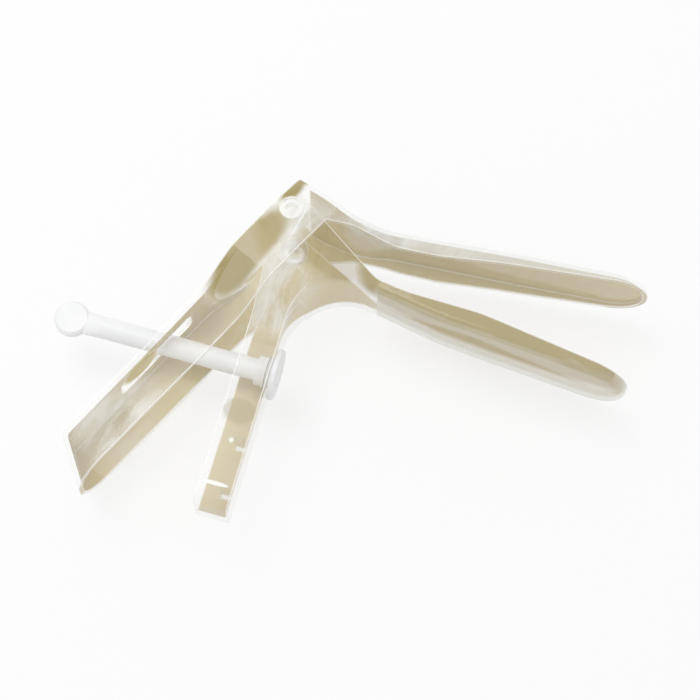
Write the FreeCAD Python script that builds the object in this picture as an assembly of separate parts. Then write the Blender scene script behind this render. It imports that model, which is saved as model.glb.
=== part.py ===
"""Bivalve speculum of clear plastic, with a white centre screw and nut.

Units are millimetres.  The part lies on its side as it does on a table:
+Z is the hinge axis and points up, +X runs from the hinge towards the blade
tips, and the origin is the foot of the hinge axis on the table.

Each valve is a moulded shell.  Its outside is what a side view, drawn in the
table plane, and a front view of its width have in common; its inside is the
same with the walls moved in and the open rims moved out.
"""
import FreeCAD, Part
import math
import os

V = FreeCAD.Vector

# Walls and clearances
WALL = 1.7
EAR_GAP = 0.35
NEST_GAP = 0.7
BLADE_SHUT_GAP = 0.3
PIN_CLEARANCE = 0.05
HUB_CLEARANCE = 0.06
THREAD_CLEARANCE = 0.05
FLANGE_GAP = 0.15
SLOT_SIDE_GAP = 0.6
SLOT_END_GAP = 0.8

# Widths along the hinge axis
HOOD_WIDTH = 48.0
BLADE_NECK_WIDTH = 27.0
BLADE_WIDTH = 30.2
TROUGH_WIDTH = 25.8

# Directions at rest, in degrees from +X
UPPER_BLADE_ANGLE = -11.0
UPPER_HANDLE_ANGLE = 228.65
LOWER_BLADE_ANGLE = -26.0
LOWER_HANDLE_ANGLE = 254.0

# Front view of a blade: hood, neck, widest place and round nose, as distances from the hinge
UPPER_BLADE_LENGTH = 127.4
LOWER_BLADE_LENGTH = 130.5
UPPER_HOOD_TO = 11.0
LOWER_HOOD_TO = 6.0
NECK_AT = 35.5
WIDEST_AT = 80.0
NOSE_TAPER = 0.6
NOSE_RADIUS = 14.0
HOOD_BEND = 14.0
NECK_BEND = 20.0
WIDEST_BEND = 60.0

# Side view of the blades, as (distance from the hinge, height over the blade's axis, corner radius)
HOOD_APEX = (1.0, 11.5)
UPPER_CROWN_BEND = (24.3, 2.6, 40.0)
UPPER_CROWN_SLOPE = -0.009
UPPER_RIM = ((53.0, -4.2, 20.0), (39.0, -3.7, 10.0), (22.0, -0.6, 6.0))
LOWER_RIM = ((36.5, -7.2, 10.0), (48.0, -6.9, 30.0))
SHUT_LINE = (74.0, -3.05, 40.0)
SHUT_LINE_SLOPE = 0.033
LOWER_CROWN_BEND = (63.0, -11.4, 60.0)
LOWER_CROWN_SLOPE = 0.092
CROWN_ROUND = 2.5

# Trough, the wide handle of the upper valve
TROUGH_LENGTH = 119.7
TROUGH_BACK = 6.0
TROUGH_BACK_AT_END = 7.3
TROUGH_BACK_FROM = 3.0
TROUGH_FRONT = 11.8
TROUGH_FRONT_AT_END = 8.6
TROUGH_FRONT_FROM = -5.0
TROUGH_END_SLANT = 9.7
TROUGH_HEEL_RADIUS = 4.0
TROUGH_HOOD_TO = 24.0
TROUGH_NECK_AT = 39.0
TROUGH_NECK_WIDTH = 27.2
TROUGH_STRAIGHT_FROM = 56.0
TROUGH_NOSE_RADIUS = 12.0
TROUGH_BEND = 12.0
WINDOW_LENGTH = 36.0
WINDOW_SIDE_TO = 15.0
WINDOW_SHOULDER = (0.72, 0.74)
SLOT_CORNER = 2.0

# Grip, the narrow handle of the lower valve, which nests in the trough
GRIP_LENGTH = 106.5
GRIP_BACK = 3.8
GRIP_FRONT = 8.0
GRIP_BACK_FROM = 18.0
GRIP_HOOD_TO = 16.5
GRIP_STRAIGHT_FROM = 38.0
GRIP_BEND = 12.0
GRIP_CORNER = 3.0
THROAT_RADIUS = 20.0
EAR_RADIUS = 6.0
EAR_TO = 8.0
EAR_TANGENT = 43.7
GRIP_RIB_AT = (79.0, 97.0)
GRIP_RIB_THICKNESS = 1.2
GRIP_RIB_HEIGHT = 3.6

# Hinge pins, moulded on the ears of the lower valve
PIN_DIAMETER = 7.6
PIN_BORE = 4.5
PIN_CAP = 0.9
PIN_BOSS_DIAMETER = 10.4
PIN_BOSS_HEIGHT = 1.1

# Screw and nut
SCREW_FROM_HINGE = 52.7
SCREW_DIAMETER = 7.8
SCREW_LENGTH = 64.5
SCREW_TIP_CHAMFER = 0.6
NECK_LENGTH = 6.0
NECK_WIDTH = 8.6
NECK_IN_HEAD = 1.2
HEAD_DIAMETER = 12.6
HEAD_THICKNESS = 4.0
HEAD_EDGE = 0.9
NUT_HUB_DIAMETER = 10.7
NUT_HUB_LENGTH = 5.6
NUT_LIP = 0.45
NUT_LIP_LENGTH = 1.0
NUT_FLANGE_DIAMETER = 18.2
NUT_FLANGE_THICKNESS = 2.3
NUT_FLANGE_EDGE = 0.5

# Sizes that follow from the ones above
MID = HOOD_WIDTH / 2
LOWER_HOOD_WIDTH = HOOD_WIDTH - 2 * (WALL + EAR_GAP)
GRIP_WIDTH = TROUGH_WIDTH - 2 * (WALL + NEST_GAP)
SLOT_WIDTH = SCREW_DIAMETER + 2 * SLOT_SIDE_GAP
AXIS = V(0, 0, 1)

# How far a cut goes past an open rim, an outline past a blade's nose, and a joined piece into its neighbour
PAST_RIM = 12.0
PAST_NOSE = 1.0
SUNK = 0.2
FAR = 200.0

# Shortest edge worth drawing, and how close two places count as one
SHORTEST = 0.5
SAME_PLACE = 1e-3
SAME_LEVEL = 1e-6

# Most of a side that one rounded corner takes up
LONGEST_ROUND = 0.49


def direction(angle):
    """Unit vector in the table plane."""
    return V(math.cos(math.radians(angle)), math.sin(math.radians(angle)), 0)


def left_of(ahead):
    return V(-ahead.y, ahead.x, 0)


def on_blade(angle, along, height):
    """Point of a blade's side view."""
    return direction(angle) * along + left_of(direction(angle)) * height


def on_handle(angle, along, back):
    """Point of a handle's side view, with back measured towards the far side of the grip."""
    return on_blade(angle, along, -back)


def meet(first, ahead, second, beside):
    """Where a line through first, along ahead, meets a line through second, along beside."""
    across = ahead.x * beside.y - ahead.y * beside.x
    gap = second - first
    return first + ahead * ((gap.x * beside.y - gap.y * beside.x) / across)


# An outline is a closed list of corners, each (point, radius, wall), clockwise as seen from above.
# Wall says whether the side that starts at the corner is a wall, or a rim that stays open.


def moved_in(corners):
    """The outline of the inside: walls move in by their thickness, open rims move out."""
    sides = []
    for k, (point, radius, wall) in enumerate(corners):
        ahead = (corners[(k + 1) % len(corners)][0] - point).normalize()
        shift = WALL if wall else -PAST_RIM
        sides.append((point - left_of(ahead) * shift, ahead, shift))
    inside = []
    for k, (point, radius, wall) in enumerate(corners):
        before, ahead, shift = sides[k - 1]
        here, after, same = sides[k]
        turn = ahead.x * after.y - ahead.y * after.x
        if abs(turn) < SAME_LEVEL:
            inside.append((here, 0.0, wall))
            continue
        if shift == same and radius:
            radius = max(radius + math.copysign(shift, turn), 0.0)
        inside.append((meet(before, ahead, here, after), radius, wall))
    return inside


def outline_edges(corners):
    """Straight sides joined by tangent arcs, where a corner has a radius."""
    ends = []
    for k, (point, radius, wall) in enumerate(corners):
        back = corners[k - 1][0] - point
        on = corners[(k + 1) % len(corners)][0] - point
        half = back.getAngle(on) / 2
        reach = min(radius / math.tan(half), LONGEST_ROUND * min(back.Length, on.Length))
        back.normalize()
        on.normalize()
        if reach < SAME_PLACE or math.pi / 2 - half < SAME_LEVEL:
            ends.append((point, None, point))
            continue
        inward = (back + on).normalize()
        crest = point + inward * (reach / math.cos(half) - reach * math.tan(half))
        ends.append((point + back * reach, crest, point + on * reach))
    edges = []
    for k, (first, crest, last) in enumerate(ends):
        if crest is not None:
            edges.append(Part.Arc(first, crest, last).toShape())
        following = ends[(k + 1) % len(ends)][0]
        if (following - last).Length > SAME_PLACE:
            edges.append(Part.makeLine(last, following))
    return edges


def slab(corners):
    """Everything inside an outline in the table plane, taller than any piece."""
    face = Part.Face(Part.Wire(outline_edges(corners)))
    return face.extrude(V(0, 0, 2 * FAR)).translated(V(0, 0, -FAR))


def width_slab(angle, half_corners, inset):
    """Everything inside an outline of half widths along a direction, and its mirror image."""
    near = [(V(along, half, 0), radius, True) for along, half, radius in half_corners]
    far = [(V(p.x, -p.y, 0), radius, True) for p, radius, wall in reversed(near)]
    corners = near + far
    prism = slab(moved_in(corners)) if inset else slab(corners)
    prism.rotate(V(0, 0, 0), V(1, 0, 0), 90)
    prism.rotate(V(0, 0, 0), AXIS, angle)
    prism.translate(V(0, 0, MID))
    return prism


def blade_width(angle, hood_width, hood_to, length, inset):
    """Hood that narrows to a neck, widens to the duckbill and ends in a round nose."""
    wide = BLADE_WIDTH / 2
    corners = [(-FAR, hood_width / 2, 0), (hood_to, hood_width / 2, HOOD_BEND),
               (NECK_AT, BLADE_NECK_WIDTH / 2, NECK_BEND), (WIDEST_AT, wide, WIDEST_BEND),
               (length, wide - NOSE_TAPER, NOSE_RADIUS)]
    return width_slab(angle, corners, inset)


def trough_width(inset):
    """Hood that narrows quickly to the trough, with a round end."""
    half = TROUGH_WIDTH / 2
    corners = [(-FAR, HOOD_WIDTH / 2, 0), (TROUGH_HOOD_TO, HOOD_WIDTH / 2, TROUGH_BEND),
               (TROUGH_NECK_AT, TROUGH_NECK_WIDTH / 2, TROUGH_BEND),
               (TROUGH_STRAIGHT_FROM, half, TROUGH_BEND),
               (TROUGH_LENGTH, half, TROUGH_NOSE_RADIUS)]
    return width_slab(UPPER_HANDLE_ANGLE, corners, inset)


def grip_width(inset):
    """Hood that narrows to the grip, with a square end."""
    half = GRIP_WIDTH / 2
    corners = [(-FAR, LOWER_HOOD_WIDTH / 2, 0), (GRIP_HOOD_TO, LOWER_HOOD_WIDTH / 2, GRIP_BEND),
               (GRIP_STRAIGHT_FROM, half, GRIP_BEND), (GRIP_LENGTH, half, GRIP_CORNER)]
    return width_slab(LOWER_HANDLE_ANGLE, corners, inset)


def shut_height(along):
    """Height of the line where the rims of the shut blades face each other."""
    return SHUT_LINE[1] + SHUT_LINE_SLOPE * (along - SHUT_LINE[0])


def upper_side():
    """Side view of the upper valve, from the apex of the hood along the crown, rims and trough."""
    blade = UPPER_BLADE_ANGLE
    handle = UPPER_HANDLE_ANGLE
    tip = UPPER_BLADE_LENGTH + PAST_NOSE
    lift = BLADE_SHUT_GAP / 2
    bend_at, bend_height, bend_radius = UPPER_CROWN_BEND
    tip_height = bend_height + UPPER_CROWN_SLOPE * (tip - bend_at)
    corners = [(on_blade(blade, *HOOD_APEX), 0, True),
               (on_blade(blade, bend_at, bend_height), bend_radius, True),
               (on_blade(blade, tip, tip_height), 0, True),
               (on_blade(blade, tip, shut_height(tip) + lift), 0, False),
               (on_blade(blade, SHUT_LINE[0], SHUT_LINE[1] + lift), SHUT_LINE[2], False)]
    corners += [(on_blade(blade, along, height), radius, False) for along, height, radius in UPPER_RIM]
    corners += [(on_handle(handle, TROUGH_FRONT_FROM, -TROUGH_FRONT), 0, False),
                (on_handle(handle, TROUGH_LENGTH, -TROUGH_FRONT_AT_END), 0, True),
                (on_handle(handle, TROUGH_LENGTH - TROUGH_END_SLANT, TROUGH_BACK_AT_END),
                 TROUGH_HEEL_RADIUS, True),
                (on_handle(handle, TROUGH_BACK_FROM, TROUGH_BACK), 0, True)]
    return corners


def lower_side():
    """Side view of the lower valve, from the nose along the crown, the grip, the ear and the rims."""
    blade = LOWER_BLADE_ANGLE
    handle = LOWER_HANDLE_ANGLE
    tip = LOWER_BLADE_LENGTH + PAST_NOSE
    drop = BLADE_SHUT_GAP / 2
    bend_at, bend_height, bend_radius = LOWER_CROWN_BEND
    tip_height = bend_height + LOWER_CROWN_SLOPE * (tip - bend_at)
    throat = meet(on_blade(blade, 0, bend_height), direction(blade),
                  on_handle(handle, 0, -GRIP_FRONT), direction(handle))
    back_normal = handle - 90
    spread = math.radians(back_normal - EAR_TANGENT) / 2
    ear = direction((back_normal + EAR_TANGENT) / 2) * (EAR_RADIUS / math.cos(spread))
    corners = [(on_blade(blade, tip, tip_height), 0, True),
               (on_blade(blade, bend_at, bend_height), bend_radius, True),
               (throat, THROAT_RADIUS, True),
               (on_handle(handle, GRIP_LENGTH, -GRIP_FRONT), 0, True),
               (on_handle(handle, GRIP_LENGTH, GRIP_BACK), 0, False),
               (on_handle(handle, GRIP_BACK_FROM, GRIP_BACK), 0, False),
               (on_handle(handle, EAR_TO, EAR_RADIUS), 0, False), (ear, EAR_RADIUS, False)]
    corners += [(on_blade(blade, along, height), radius, False) for along, height, radius in LOWER_RIM]
    corners += [(on_blade(blade, SHUT_LINE[0], SHUT_LINE[1] - drop), SHUT_LINE[2], False),
                (on_blade(blade, tip, shut_height(tip) - drop), 0, True)]
    return corners


def rounded_crown(solid, corners):
    """Round the edges of a blade that run along the first two sides of its outline."""
    crown = Part.Compound(outline_edges(corners)[:3])
    picked = []
    for edge in solid.Edges:
        places = [V(p.x, p.y, 0) for p in edge.discretize(5)]
        if (places[0] - places[-1]).Length < SHORTEST:
            continue
        if all(Part.Vertex(p).distToShape(crown)[0] < SAME_PLACE for p in places):
            picked.append(edge)
    return solid.makeFillet(CROWN_ROUND, picked)


def upper_valve():
    """Upper blade, hood with its window, ears and the trough."""
    side = upper_side()
    shape = (UPPER_BLADE_ANGLE, HOOD_WIDTH, UPPER_HOOD_TO, UPPER_BLADE_LENGTH)
    outside = rounded_crown(slab(side).common(blade_width(*shape, False)), side)
    inside = slab(moved_in(side)).common(blade_width(*shape, True))
    body = outside.common(trough_width(False)).cut(inside.common(trough_width(True)))
    hole = Part.makeCylinder(PIN_DIAMETER / 2 + PIN_CLEARANCE, HOOD_WIDTH)
    return body.cut(window()).cut(screw_slot()).cut(hole)


def back_cut(edges):
    """Cutter through the back of the trough, from an outline seen from behind, hinge to the left."""
    face = Part.Face(Part.Wire(Part.__sortEdges__(edges)))
    depth = 2 * (TROUGH_BACK_AT_END - TROUGH_BACK + WALL)
    prism = face.extrude(V(0, 0, 2 * depth))
    prism.rotate(V(0, 0, 0), V(1, 0, 0), 90)
    prism.translate(V(0, depth - TROUGH_BACK, 0))
    prism.rotate(V(0, 0, 0), AXIS, UPPER_HANDLE_ANGLE)
    prism.translate(V(0, 0, MID))
    return prism


def window():
    """Viewing window through the back of the hood, pointed and round at its lower end."""
    half = HOOD_WIDTH / 2 - WALL
    start = -WINDOW_LENGTH
    reach = WINDOW_LENGTH - WINDOW_SIDE_TO
    curve = Part.BSplineCurve()
    shoulder = V(WINDOW_SIDE_TO + WINDOW_SHOULDER[0] * reach, (1 - WINDOW_SHOULDER[1] / 2) * half, 0)
    curve.interpolate(Points=[V(WINDOW_SIDE_TO, half, 0), shoulder, V(WINDOW_LENGTH, 0, 0)],
                      InitialTangent=V(1, 0, 0), FinalTangent=V(0, -1, 0))
    near = curve.toShape()
    far = near.mirror(V(0, 0, 0), V(0, 1, 0))
    corners = [V(WINDOW_SIDE_TO, half, 0), V(start, half, 0), V(start, -half, 0), V(WINDOW_SIDE_TO, -half, 0)]
    return back_cut([near, far] + [Part.makeLine(a, b) for a, b in zip(corners, corners[1:])])


def screw_slot():
    """Slot for the screw: the rod at its hinge end, the thumb disc at its far end with the blades shut."""
    shut = math.radians(LOWER_HANDLE_ANGLE - UPPER_HANDLE_ANGLE + UPPER_BLADE_ANGLE - LOWER_BLADE_ANGLE)
    start = SCREW_FROM_HINGE - SCREW_DIAMETER / 2 - SLOT_END_GAP
    crossing = (SCREW_FROM_HINGE + TROUGH_BACK * math.sin(shut)) / math.cos(shut)
    end = crossing + HEAD_DIAMETER / 2 / math.cos(shut) + SLOT_END_GAP
    half = SLOT_WIDTH / 2
    corners = [(start, half), (end, half), (end, -half), (start, -half)]
    return back_cut(outline_edges([(V(x, y, 0), SLOT_CORNER, True) for x, y in corners]))


def lower_valve():
    """Lower blade, ears with hollow hinge pins and the grip."""
    side = lower_side()
    shape = (LOWER_BLADE_ANGLE, LOWER_HOOD_WIDTH, LOWER_HOOD_TO, LOWER_BLADE_LENGTH)
    outside = rounded_crown(slab(side).common(blade_width(*shape, False)), side).common(grip_width(False))
    inside = slab(moved_in(side)).common(blade_width(*shape, True))
    body = outside.cut(inside.common(grip_width(True)))
    ribs = [grip_rib(along).common(outside) for along in GRIP_RIB_AT]
    body = body.fuse(ribs + hinge_pins()).removeSplitter()
    hole = Part.makeCylinder(NUT_HUB_DIAMETER / 2 + HUB_CLEARANCE, GRIP_FRONT, V(-WALL, 0, 0), V(1, 0, 0))
    return body.cut(hinge_bores()).cut(on_screw_axis(hole))


def grip_rib(along):
    """Low rib across the channel of the grip."""
    height = GRIP_RIB_HEIGHT + SUNK
    rib = Part.makeBox(GRIP_RIB_THICKNESS, height, GRIP_WIDTH,
                       V(along, GRIP_FRONT - WALL + SUNK - height, MID - GRIP_WIDTH / 2))
    rib.rotate(V(0, 0, 0), AXIS, LOWER_HANDLE_ANGLE)
    return rib


def on_both_sides(shape):
    """A shape made on the lower ear and its mirror image on the upper ear."""
    return [shape, shape.mirror(V(0, 0, MID), AXIS)]


def hinge_pins():
    """Pins through the ears of the upper valve, with a boss inside the lower valve's ears."""
    ear_inside = 2 * WALL + EAR_GAP
    pin = Part.makeCylinder(PIN_DIAMETER / 2, ear_inside)
    boss = Part.makeCylinder(PIN_BOSS_DIAMETER / 2, PIN_BOSS_HEIGHT + SUNK, V(0, 0, ear_inside - SUNK))
    return on_both_sides(pin.fuse(boss))


def hinge_bores():
    """Blind hollows of the hinge pins, open to the inside."""
    depth = 2 * WALL + EAR_GAP + PIN_BOSS_HEIGHT - PIN_CAP
    return on_both_sides(Part.makeCylinder(PIN_BORE / 2, depth, V(0, 0, PIN_CAP)))


def on_screw_axis(shape):
    """Put a shape made along +X, from the outer face of the nut, on the axis of the screw."""
    shape = shape.copy()
    face = on_handle(LOWER_HANDLE_ANGLE, SCREW_FROM_HINGE, -(GRIP_FRONT + FLANGE_GAP + NUT_FLANGE_THICKNESS))
    shape.rotate(V(0, 0, 0), AXIS, LOWER_HANDLE_ANGLE - 90)
    shape.translate(V(face.x, face.y, MID))
    return shape


def screw():
    """Round rod with a flat thumb disc on a short neck."""
    x_axis = V(1, 0, 0)
    radius = SCREW_DIAMETER / 2
    tip = Part.makeCone(radius - SCREW_TIP_CHAMFER, radius, SCREW_TIP_CHAMFER, V(0, 0, 0), x_axis)
    rod = Part.makeCylinder(radius, SCREW_LENGTH - SCREW_TIP_CHAMFER, V(SCREW_TIP_CHAMFER, 0, 0), x_axis)
    rod_end = Part.Wire(Part.makeCircle(radius, V(SCREW_LENGTH, 0, 0), x_axis))
    flat = Part.Ellipse(V(0, 0, 0), NECK_WIDTH / 2, HEAD_THICKNESS / 2 - SUNK).toShape()
    flat.rotate(V(0, 0, 0), V(1, 1, 1), 120)
    flat.translate(V(SCREW_LENGTH + NECK_LENGTH, 0, 0))
    neck = Part.makeLoft([rod_end, Part.Wire(flat)], True, True)
    centre = SCREW_LENGTH + NECK_LENGTH + HEAD_DIAMETER / 2 - NECK_IN_HEAD
    disc = Part.makeCylinder(HEAD_DIAMETER / 2, HEAD_THICKNESS, V(centre, 0, -HEAD_THICKNESS / 2))
    disc = disc.makeChamfer(HEAD_EDGE, [e for e in disc.Edges if e.BoundBox.ZLength < SAME_LEVEL])
    return on_screw_axis(tip.fuse([rod, neck, disc]))


def nut():
    """Round flange outside the grip, and a hub held by a lip inside it."""
    x_axis = V(1, 0, 0)
    flange = Part.makeCylinder(NUT_FLANGE_DIAMETER / 2, NUT_FLANGE_THICKNESS, V(0, 0, 0), x_axis)
    flange = flange.makeChamfer(NUT_FLANGE_EDGE, [e for e in flange.Edges if e.BoundBox.XLength < SAME_LEVEL])
    hub_length = NUT_FLANGE_THICKNESS + NUT_HUB_LENGTH
    hub = Part.makeCylinder(NUT_HUB_DIAMETER / 2, hub_length, V(0, 0, 0), x_axis)
    lip_at = NUT_FLANGE_THICKNESS + FLANGE_GAP + WALL + FLANGE_GAP
    hub_radius = NUT_HUB_DIAMETER / 2
    lip = Part.makeCone(hub_radius + NUT_LIP, hub_radius, NUT_LIP_LENGTH, V(lip_at, 0, 0), x_axis)
    bore = Part.makeCylinder(SCREW_DIAMETER / 2 + THREAD_CLEARANCE, hub_length, V(0, 0, 0), x_axis)
    return on_screw_axis(flange.fuse([hub, lip]).cut(bore))


def main():
    os.makedirs("parts", exist_ok=True)
    nodes = {"upper_valve": upper_valve(), "lower_valve": lower_valve(), "screw": screw(), "nut": nut()}
    for name, shape in nodes.items():
        solid = shape.removeSplitter()
        if len(solid.Solids) == 1:
            solid = solid.Solids[0]
        solid.exportStep("parts/%s.step" % name)
        box = solid.BoundBox
        print(name, solid.ShapeType, round(solid.Volume, 1), solid.isValid(),
              [round(v, 2) for v in (box.XMin, box.XMax, box.YMin, box.YMax, box.ZMin, box.ZMax)])


main()
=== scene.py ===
import math

import bmesh
import bpy
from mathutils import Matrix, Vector
from mathutils.bvhtree import BVHTree


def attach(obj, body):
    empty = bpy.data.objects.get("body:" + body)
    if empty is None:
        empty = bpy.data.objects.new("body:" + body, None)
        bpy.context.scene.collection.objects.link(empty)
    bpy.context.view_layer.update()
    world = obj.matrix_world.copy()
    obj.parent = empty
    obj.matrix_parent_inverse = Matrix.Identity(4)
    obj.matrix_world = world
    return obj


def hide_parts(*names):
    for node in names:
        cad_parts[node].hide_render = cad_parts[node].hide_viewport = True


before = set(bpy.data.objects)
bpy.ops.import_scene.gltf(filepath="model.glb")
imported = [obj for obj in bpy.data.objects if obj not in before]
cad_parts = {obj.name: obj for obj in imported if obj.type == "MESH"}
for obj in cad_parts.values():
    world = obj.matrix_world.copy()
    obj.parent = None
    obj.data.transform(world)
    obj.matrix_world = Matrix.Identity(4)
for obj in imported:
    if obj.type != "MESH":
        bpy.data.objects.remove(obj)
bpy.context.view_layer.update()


# The upper valve
# The far blade, the hood with its viewing window and the wide trough handle, as one injection moulding in
# clear polystyrene.  Its polished walls are nearly clear, and warm where one wall shows alone.  The light
# that its sharp edges pipe is painted on as bright highlight lines, and the plastic's flow left faint milky
# streaks and clouds, the clouds at the hinge and throat being partly painted highlights.
WALL = 0.0017
THICKEST_WALL = 1.5 * WALL
MERGE_DISTANCE = 2e-6
PROBE_STEP = 1e-5
SHARP_ANGLE = math.radians(34.0)
MID_HEIGHT = 0.024
FACES_DOWN = -0.5
FACES_SIDE = 0.8
OUTSIDE, INSIDE, EDGE, UNDER, SIDE, BACK = range(6)

CLEAR = "#EFEEE6"
WARM = "#A99862"
INNER = "#D2C398"
# The white of the milky haze, which also paints highlights at the hinge and throat
HAZE_AND_HIGHLIGHT_WHITE = "#EFF1EE"
# Near white: the painted highlight lines along edges and across the handle, and the ejector marks
BRIGHT = "#FBFBF6"
DEEP_COVER = 0.88

# Patterns in the plastic, with sizes in metres: flow streaks, milky clouds that are partly painted
# highlights, and the slight waves of the walls
POLISH = 0.07
MILKY_ROUGHNESS = 0.27
MARK_SIZE = 1 / 120
MARK_STRETCH = 7.0
MARK_SHARE = 0.2
CLOUD_SIZE = 1 / 60
CLOUD_STRETCH = 2.0
WAVE_SIZE = 1 / 70
WAVE_HEIGHT = 0.0006
# The painted highlight lines along sharp edges: their width and how much they cover
HIGHLIGHT_LINE_WIDTH = 0.0011
HIGHLIGHT_LINE_COVER = 0.92


def linear(text):
    """sRGB hex colour as the linear RGBA that Blender's sockets take."""
    parts = [int(text[k:k + 2], 16) / 255 for k in (1, 3, 5)]
    return [c / 12.92 if c <= 0.04045 else ((c + 0.055) / 1.055) ** 2.4 for c in parts] + [1.0]


def fill(tree, node, inputs):
    """Give a node's inputs, by name or number, a value, a hex colour or another node's output."""
    for key, value in inputs.items():
        if isinstance(value, bpy.types.NodeSocket):
            tree.links.new(value, node.inputs[key])
        else:
            node.inputs[key].default_value = linear(value) if isinstance(value, str) else value


def add_node(tree, kind, inputs, output=0, **settings):
    """One shader node with its settings and inputs: the output asked for, or all of them for None."""
    node = tree.nodes.new(kind)
    for key, value in settings.items():
        setattr(node, key, value)
    fill(tree, node, inputs)
    return node.outputs if output is None else node.outputs[output]


def new_material(name):
    """A new material: itself, its node tree and its surface."""
    material = bpy.data.materials.new(name)
    material.use_nodes = True
    return material, material.node_tree, material.node_tree.nodes["Principled BSDF"]


def flow_marks(tree, place, turn, size, stretch):
    """Long soft marks of a size in metres, drawn out along the plastic's flow, in degrees from +X."""
    along = add_node(tree, "ShaderNodeMapping",
                     {"Vector": place, "Rotation": (0.0, 0.0, math.radians(turn)),
                      "Scale": (stretch, 1.0, 1.0)}, vector_type="TEXTURE")
    return add_node(tree, "ShaderNodeTexNoise",
                    {"Vector": along, "Scale": 1 / size, "Detail": 3.0, "Roughness": 0.62, "Distortion": 0.6})


def patch(tree, place, spot, turn, reach, full):
    """1 in the middle of a patch, out to its share full, and falling smoothly to 0 at its half sizes."""
    inside = add_node(tree, "ShaderNodeMapping",
                      {"Vector": place, "Location": spot, "Rotation": (0.0, 0.0, math.radians(turn)),
                       "Scale": reach}, vector_type="TEXTURE")
    away = add_node(tree, "ShaderNodeVectorMath", {0: inside}, "Value", operation="LENGTH")
    return add_node(tree, "ShaderNodeMapRange", {0: away, 1: 1.0, 2: full}, interpolation_type="SMOOTHSTEP")


def clear_plastic(name, tone, cover, edge_cover, flow, clouds_with_highlight=(), patches=(), white_share=0.55, gloss=0.5):
    """Clear moulded polystyrene, drawn by its tone and by how much it covers of what lies behind.

    cover is for a wall seen face on and edge_cover for one seen edge on.  flow is the way that the plastic
    ran, in degrees from +X.  The cloud list holds each cloud's centre and radius, for milky haze that is
    partly a painted highlight.  patches holds each place where the wall looks different: its centre, way,
    half sizes, tone and cover.
    """
    material, tree, surface = new_material(name)
    place = add_node(tree, "ShaderNodeTexCoord", {}, "Object")
    shape = add_node(tree, "ShaderNodeNewGeometry", {}, None)

    streaks = flow_marks(tree, place, flow, MARK_SIZE, MARK_STRETCH)
    streaks = add_node(tree, "ShaderNodeMapRange", {0: streaks, 1: 0.5, 2: 0.72},
                       interpolation_type="SMOOTHSTEP")
    haze_with_highlight = add_node(tree, "ShaderNodeMath", {0: streaks, 1: MARK_SHARE}, operation="MULTIPLY")
    # Clouds of milky haze, partly painted highlight at the hinge and throat
    for spot, radius in clouds_with_highlight:
        cloud = flow_marks(tree, place, flow, CLOUD_SIZE, CLOUD_STRETCH)
        cloud = add_node(tree, "ShaderNodeMapRange", {0: cloud, 1: 0.3, 2: 0.62},
                         interpolation_type="SMOOTHSTEP")
        here = patch(tree, place, spot, flow, (radius, radius, radius), 0.3)
        here = add_node(tree, "ShaderNodeMath", {0: here, 1: cloud}, operation="MULTIPLY")
        haze_with_highlight = add_node(tree, "ShaderNodeMath", {0: haze_with_highlight, 1: here}, operation="MAXIMUM")

    slant = add_node(tree, "ShaderNodeLayerWeight", {"Blend": 0.35}, "Facing")
    covered = add_node(tree, "ShaderNodeMapRange", {0: slant, 1: 0.35, 2: 1.0, 3: cover, 4: edge_cover},
                       interpolation_type="SMOOTHSTEP")
    colour = add_node(tree, "ShaderNodeMix", {0: haze_with_highlight, 6: tone, 7: HAZE_AND_HIGHLIGHT_WHITE}, 2, data_type="RGBA")
    for spot, way, reach, patch_tone, patch_cover in patches:
        here = patch(tree, place, spot, way, reach, 0.6)
        colour = add_node(tree, "ShaderNodeMix", {0: here, 6: colour, 7: patch_tone}, 2, data_type="RGBA")
        here = add_node(tree, "ShaderNodeMath", {0: here, 1: patch_cover}, operation="MULTIPLY")
        covered = add_node(tree, "ShaderNodeMath", {0: covered, 1: here}, operation="MAXIMUM")
    whitening = add_node(tree, "ShaderNodeMath", {0: haze_with_highlight, 1: white_share}, operation="MULTIPLY")
    covered = add_node(tree, "ShaderNodeMath", {0: covered, 1: whitening}, operation="ADD")

    # Painted highlight: near a sharp edge the rounded normal leaves the face's own, and there a near-white
    # line is painted on for the light that the edge pipes
    rounded = add_node(tree, "ShaderNodeBevel", {"Radius": HIGHLIGHT_LINE_WIDTH}, samples=6)
    agree = add_node(tree, "ShaderNodeVectorMath", {0: rounded, 1: shape["True Normal"]}, "Value",
                     operation="DOT_PRODUCT")
    edge_highlight = add_node(tree, "ShaderNodeMapRange", {0: agree, 1: 0.99, 2: 0.88}, interpolation_type="SMOOTHSTEP")
    colour = add_node(tree, "ShaderNodeMix", {0: edge_highlight, 6: colour, 7: BRIGHT}, 2, data_type="RGBA")
    edge_highlight = add_node(tree, "ShaderNodeMath", {0: edge_highlight, 1: HIGHLIGHT_LINE_COVER}, operation="MULTIPLY")
    covered = add_node(tree, "ShaderNodeMath", {0: covered, 1: edge_highlight}, operation="MAXIMUM")

    # Only the side of a wall that faces the eye covers, so the two sides don't darken each other
    front = add_node(tree, "ShaderNodeMath", {0: 1.0, 1: shape["Backfacing"]}, operation="SUBTRACT")
    covered = add_node(tree, "ShaderNodeMath", {0: covered, 1: front}, operation="MULTIPLY")
    rough = add_node(tree, "ShaderNodeMapRange", {0: haze_with_highlight, 1: 0.0, 2: 1.0, 3: POLISH, 4: MILKY_ROUGHNESS},
                     interpolation_type="SMOOTHSTEP")
    wave = add_node(tree, "ShaderNodeTexNoise", {"Vector": place, "Scale": 1 / WAVE_SIZE, "Detail": 2.0})
    relief = add_node(tree, "ShaderNodeBump", {"Height": wave, "Strength": 0.35, "Distance": WAVE_HEIGHT},
                      "Normal")
    fill(tree, surface, {"Base Color": colour, "Alpha": covered, "Roughness": rough, "Normal": relief,
                         "IOR": 1.49, "Specular IOR Level": gloss})
    return material


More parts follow.
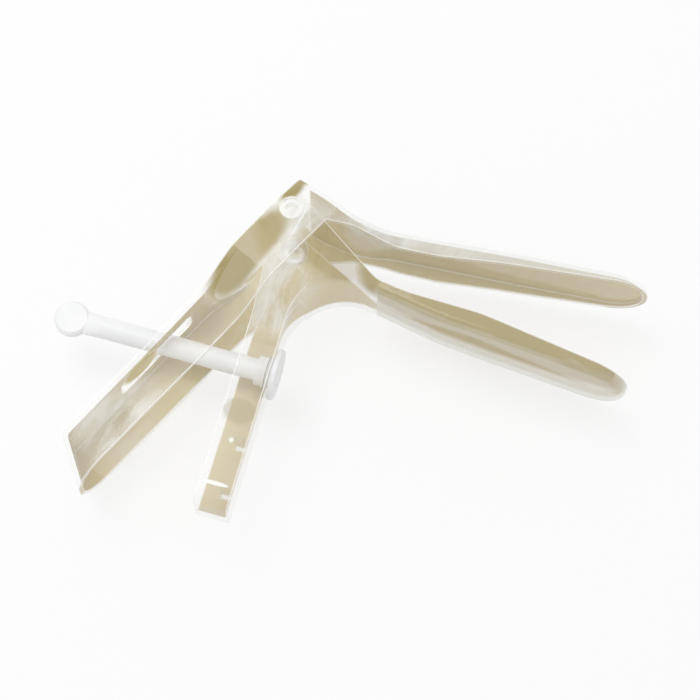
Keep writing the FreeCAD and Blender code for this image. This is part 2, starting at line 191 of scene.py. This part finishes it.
def merged_copy(node):
    """A copy of a node's mesh, and the same as one closed shell to work on."""
    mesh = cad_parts[node].data.copy()
    mesh.name = node + "_moulding"
    mesh.materials.clear()
    shell = bmesh.new()
    shell.from_mesh(mesh)
    bmesh.ops.remove_doubles(shell, verts=shell.verts, dist=MERGE_DISTANCE)
    return mesh, shell


def finished_piece(mesh, shell, sharp_angle, weight):
    """A new piece from the worked shell, shaded smooth wherever it turns by less than the sharp angle."""
    for face in shell.faces:
        face.smooth = True
    for edge in shell.edges:
        edge.smooth = len(edge.link_faces) == 2 and edge.calc_face_angle() < sharp_angle
    shell.to_mesh(mesh)
    shell.free()
    piece = bpy.data.objects.new(mesh.name, mesh)
    bpy.context.scene.collection.objects.link(piece)
    shading = piece.modifiers.new("even_shading", "WEIGHTED_NORMAL")
    shading.keep_sharp = True
    shading.weight = weight
    return piece


def nearest_on(path, x, y):
    """Nearest place on a bent line in the table plane."""
    best = None
    for (ax, ay), (bx, by) in zip(path, path[1:]):
        run = (bx - ax, by - ay)
        part = ((x - ax) * run[0] + (y - ay) * run[1]) / (run[0] ** 2 + run[1] ** 2)
        part = min(max(part, 0.0), 1.0)
        place = (ax + part * run[0], ay + part * run[1])
        away = math.hypot(x - place[0], y - place[1])
        if best is None or away < best[0]:
            best = (away, place)
    return best[1]


def valve_moulding(node, middle, materials, blade_start=None):
    """A valve's own mesh, with the material of each face chosen by where it lies on the moulding.

    Where the plastic behind a face is deeper than a wall, the face is a wall's edge.  Of the rest, those that
    look away from the valve's middle line are outside, and past blade_start the blade's side or back.
    """
    mesh, shell = merged_copy(node)
    shell.normal_update()
    walls = BVHTree.FromBMesh(shell)
    for face in shell.faces:
        centre, normal = face.calc_center_median(), face.normal
        depth = walls.ray_cast(centre - normal * PROBE_STEP, -normal)[3]
        middle_here = Vector((*nearest_on(middle, centre.x, centre.y), MID_HEIGHT))
        if depth is None or depth > THICKEST_WALL:
            face.material_index = EDGE
        elif (centre - middle_here).dot(normal) <= 0:
            face.material_index = UNDER if normal.z < FACES_DOWN else INSIDE
        elif blade_start is not None and centre.x > blade_start:
            face.material_index = SIDE if abs(normal.z) > FACES_SIDE else BACK
        else:
            face.material_index = OUTSIDE
    for material in materials:
        mesh.materials.append(material)
    return finished_piece(mesh, shell, SHARP_ANGLE, weight=80)


UPPER_BLADE_WAY = -11.0
UPPER_HANDLE_WAY = 228.65
UPPER_FLOW = 228.0
# The middle of the valve's open side in the table plane, from the blade's tip to the end of the handle
UPPER_MIDDLE = [(0.130, -0.033), (0.038, -0.016), (0.012, -0.025), (-0.016, -0.034), (-0.077, -0.106)]
# Milky clouds: near the end of the trough, and at the hinge and at the root of the blade, where they are
# partly painted highlights
UPPER_HAZE_AND_HIGHLIGHT = (
    ((-0.0566, -0.0740, 0.0300), 0.025),
    ((0.0040, -0.0080, 0.0400), 0.022),
    ((0.0300, -0.0040, 0.0360), 0.022),
)
# Single walls beside the window, at the crown above the hinge and behind the slot, the paler near side of the
# blade, and the round mark of an ejector pin
UPPER_PATCHES = (
    ((-0.0140, -0.0143, 0.0400), UPPER_HANDLE_WAY, (0.0270, 0.0105, 0.0200), WARM, DEEP_COVER),
    ((0.0005, 0.0070, 0.0460), UPPER_HANDLE_WAY, (0.0100, 0.0050, 0.0040), WARM, DEEP_COVER),
    ((-0.0515, -0.0545, 0.0369), UPPER_HANDLE_WAY, (0.0105, 0.0022, 0.0040), WARM, DEEP_COVER),
    ((0.0800, -0.0160, 0.0390), UPPER_BLADE_WAY, (0.0550, 0.0080, 0.0040), "#EEEFEA", 0.5),
    ((-0.0169, -0.0395, 0.0400), UPPER_HANDLE_WAY, (0.0014, 0.0012, 0.0120), BRIGHT, 0.7),
)
wall_edge = clear_plastic("bright plastic edge", "#E9E6DA", 0.4, 0.7, UPPER_FLOW)
wall_under = clear_plastic("plastic seen from within", CLEAR, 0.1, 0.4, UPPER_FLOW, white_share=0.2)
upper_outside = clear_plastic("upper valve outside", CLEAR, 0.12, 0.5, UPPER_FLOW, UPPER_HAZE_AND_HIGHLIGHT, UPPER_PATCHES)
upper_inside = clear_plastic("upper valve inside", INNER, DEEP_COVER, 0.95, UPPER_FLOW, UPPER_HAZE_AND_HIGHLIGHT,
                             white_share=0.2, gloss=0.25)
upper_moulding = valve_moulding("upper_valve", UPPER_MIDDLE,
                                (upper_outside, upper_inside, wall_edge, wall_under))
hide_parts("upper_valve")
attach(upper_moulding, "upper")


# The lower valve
# The near blade, the ears with the hinge pins and the narrow handle that nests in the trough, as one moulding
# in the same clear polystyrene.  Seen from above, the side of its blade is warm and its curved back paler.
LOWER_BLADE_WAY = -26.0
LOWER_HANDLE_WAY = 254.0
BLADE_START = 0.034
PALE = "#E6E5DC"
PALE_COVER = 0.72
LOWER_MIDDLE = [(0.118, -0.053), (0.040, -0.018), (0.005, -0.006), (-0.012, -0.020), (-0.038, -0.104)]
# Milky clouds that are partly painted highlights: below the hinge, down the throat and around the pin
LOWER_HAZE_AND_HIGHLIGHT = (
    ((-0.0040, -0.0180, 0.0360), 0.019),
    ((-0.0060, -0.0330, 0.0360), 0.013),
    ((0.0000, 0.0000, 0.0440), 0.012),
)
# The hood's warm near side, where the blade's side and its back begin, a painted highlight along the ridge
# across the handle, the band and the ejector's mark on the handle
LOWER_PATCHES = (
    ((0.0150, -0.0140, 0.0440), -40.0, (0.0240, 0.0130, 0.0120), WARM, 0.42),
    ((0.0380, -0.0240, 0.0370), LOWER_BLADE_WAY, (0.0220, 0.0130, 0.0140), WARM, DEEP_COVER),
    ((0.0420, -0.0350, 0.0240), LOWER_BLADE_WAY, (0.0200, 0.0100, 0.0300), PALE, PALE_COVER),
    # Painted highlight: a thin near-white line across the handle, where its ridge catches the light
    ((-0.0257, -0.0950, 0.0345), LOWER_HANDLE_WAY, (0.0010, 0.0064, 0.0040), BRIGHT, 0.85),
    ((-0.0174, -0.0695, 0.0345), LOWER_HANDLE_WAY, (0.0062, 0.0080, 0.0040), "#A8A081", 0.5),
    ((-0.0203, -0.0798, 0.0345), LOWER_HANDLE_WAY, (0.0013, 0.0010, 0.0030), BRIGHT, 0.7),
)
# The upper half of the blade's back, which is warm
WARM_HALF = (((0.0700, -0.0470, 0.0350), LOWER_BLADE_WAY, (0.0800, 0.0200, 0.0140), WARM, 0.76),)
blade_side = clear_plastic("lower blade side", WARM, DEEP_COVER, 0.9, LOWER_BLADE_WAY, white_share=0.1)
blade_back = clear_plastic("lower blade back", PALE, PALE_COVER, 0.85, LOWER_BLADE_WAY, patches=WARM_HALF)
lower_outside = clear_plastic("lower valve outside", CLEAR, 0.14, 0.5, LOWER_HANDLE_WAY, LOWER_HAZE_AND_HIGHLIGHT,
                              LOWER_PATCHES)
lower_inside = clear_plastic("lower valve inside", INNER, DEEP_COVER, 0.95, LOWER_HANDLE_WAY, LOWER_HAZE_AND_HIGHLIGHT,
                             white_share=0.2, gloss=0.25)
lower_moulding = valve_moulding("lower_valve", LOWER_MIDDLE,
                                (lower_outside, lower_inside, wall_edge, wall_under, blade_side, blade_back),
                                BLADE_START)
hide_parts("lower_valve")
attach(lower_moulding, "lower")


# The screw and its nut
# Both are moulded in white polypropylene with a soft gloss.  The screw is a rod with a flat thumb disc, and
# the nut is a round flange outside the narrow handle, on a hub that a lip holds inside it.
EDGE_ROUND = 0.0002
FLAT_ANGLE = math.radians(0.4)
ROUNDED_ANGLE = math.radians(44.0)
SHADE_SIZE = 1 / 80
GRAIN_SIZE = 1 / 900
GRAIN_HEIGHT = 0.0001


def white_plastic(name):
    """White moulded polypropylene: a soft gloss and a fine grain, drawn 1 mm coarse so that it shows."""
    material, tree, surface = new_material(name)
    place = add_node(tree, "ShaderNodeTexCoord", {}, "Object")
    shade = add_node(tree, "ShaderNodeTexNoise", {"Vector": place, "Scale": 1 / SHADE_SIZE, "Detail": 2.0})
    shade = add_node(tree, "ShaderNodeMapRange", {0: shade, 1: 0.3, 2: 0.7}, interpolation_type="SMOOTHSTEP")
    colour = add_node(tree, "ShaderNodeMix", {0: shade, 6: "#F2F3F4", 7: "#F8F8F8"}, 2, data_type="RGBA")
    grain = add_node(tree, "ShaderNodeTexNoise", {"Vector": place, "Scale": 1 / GRAIN_SIZE, "Detail": 2.0})
    relief = add_node(tree, "ShaderNodeBump", {"Height": grain, "Strength": 0.15, "Distance": GRAIN_HEIGHT},
                      "Normal")
    fill(tree, surface, {"Base Color": colour, "Normal": relief, "Roughness": 0.42, "IOR": 1.49})
    return material


def rounded_moulding(node):
    """The node's own mesh with its flat triangles joined and its sharp edges rounded."""
    mesh, shell = merged_copy(node)
    bmesh.ops.dissolve_limit(shell, angle_limit=FLAT_ANGLE, verts=shell.verts, edges=shell.edges)
    sharp = [edge for edge in shell.edges
             if len(edge.link_faces) == 2 and edge.calc_face_angle() > SHARP_ANGLE]
    bmesh.ops.bevel(shell, geom=sharp, offset=EDGE_ROUND, offset_type="OFFSET", segments=3, profile=0.5,
                    affect="EDGES", clamp_overlap=True)
    return finished_piece(mesh, shell, ROUNDED_ANGLE, weight=50)


white = white_plastic("white moulded polypropylene")
for name in ("screw", "nut"):
    piece = rounded_moulding(name)
    piece.data.materials.append(white)
    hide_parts(name)
    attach(piece, name)


# The table
# A sheet of matt white paper.  What is seen of it is part plain white, so that it comes out pale and still
# keeps the object's shadow.
TABLE_HALF = 1.6
PLAIN_WHITE = 0.65
corners = [(-TABLE_HALF, -TABLE_HALF, 0), (TABLE_HALF, -TABLE_HALF, 0),
           (TABLE_HALF, TABLE_HALF, 0), (-TABLE_HALF, TABLE_HALF, 0)]
table_mesh = bpy.data.meshes.new("table")
table_mesh.from_pydata(corners, [], [(0, 1, 2, 3)])
table = bpy.data.objects.new("table", table_mesh)
bpy.context.scene.collection.objects.link(table)
paper, tree, surface = new_material("white paper")
fill(tree, surface, {"Base Color": "#FCFCFD", "Roughness": 0.9, "Specular IOR Level": 0.1})
ray = add_node(tree, "ShaderNodeLightPath", {}, None)
seen = add_node(tree, "ShaderNodeMath", {0: ray["Is Camera Ray"], 1: ray["Is Glossy Ray"]},
                operation="MAXIMUM")
seen = add_node(tree, "ShaderNodeMath", {0: seen, 1: ray["Is Transmission Ray"]}, operation="MAXIMUM")
seen = add_node(tree, "ShaderNodeMath", {0: seen, 1: PLAIN_WHITE}, operation="MULTIPLY")
plain = add_node(tree, "ShaderNodeEmission", {"Color": "#FFFFFF", "Strength": 1.0})
mixed = add_node(tree, "ShaderNodeMixShader", {0: seen, 1: surface.outputs[0], 2: plain})
fill(tree, tree.nodes["Material Output"], {"Surface": mixed})
table_mesh.materials.append(paper)


# The light
# One soft square lamp high on the left behind the object, and an even white surround.
LAMP_PLACE = Vector((-0.32, 0.26, 1.05))
LAMP_AIM = Vector((0.02, -0.04, 0.02))
LAMP_SIZE = 0.6
LAMP_POWER = 3.6
SURROUND = 0.74
lamp = bpy.data.lights.new("key_lamp", "AREA")
lamp.size = LAMP_SIZE
lamp.energy = LAMP_POWER
holder = bpy.data.objects.new("key_lamp", lamp)
holder.location = LAMP_PLACE
beam = (LAMP_AIM - LAMP_PLACE).normalized()
holder.rotation_euler = (math.acos(-beam.z), 0.0, math.atan2(beam.x, -beam.y) + math.pi)
bpy.context.scene.collection.objects.link(holder)
world = bpy.data.worlds.new("studio")
bpy.context.scene.world = world
world.use_nodes = True
fill(world.node_tree, world.node_tree.nodes["Background"], {"Color": "#FFFFFF", "Strength": SURROUND})


# The camera
# It looks down at the table from a little in front, 18 degrees off the hinge axis.
TILT = math.radians(18.0)
DISTANCE = 0.9
SENSOR = 36.0
PICTURE_PIXELS = 700.0
PIXELS_PER_METRE = 2860.0
AIM = (0.0203, -0.0441, 0.024)
camera_data = bpy.data.cameras.new("camera")
camera_data.sensor_width = SENSOR
camera_data.lens = SENSOR * PIXELS_PER_METRE * DISTANCE / PICTURE_PIXELS
camera = bpy.data.objects.new("camera", camera_data)
camera.location = (AIM[0], AIM[1] - DISTANCE * math.sin(TILT), AIM[2] + DISTANCE * math.cos(TILT))
camera.rotation_euler = (TILT, 0.0, 0.0)
bpy.context.scene.collection.objects.link(camera)
bpy.context.scene.camera = camera
bpy.context.scene.view_settings.view_transform = "Standard"
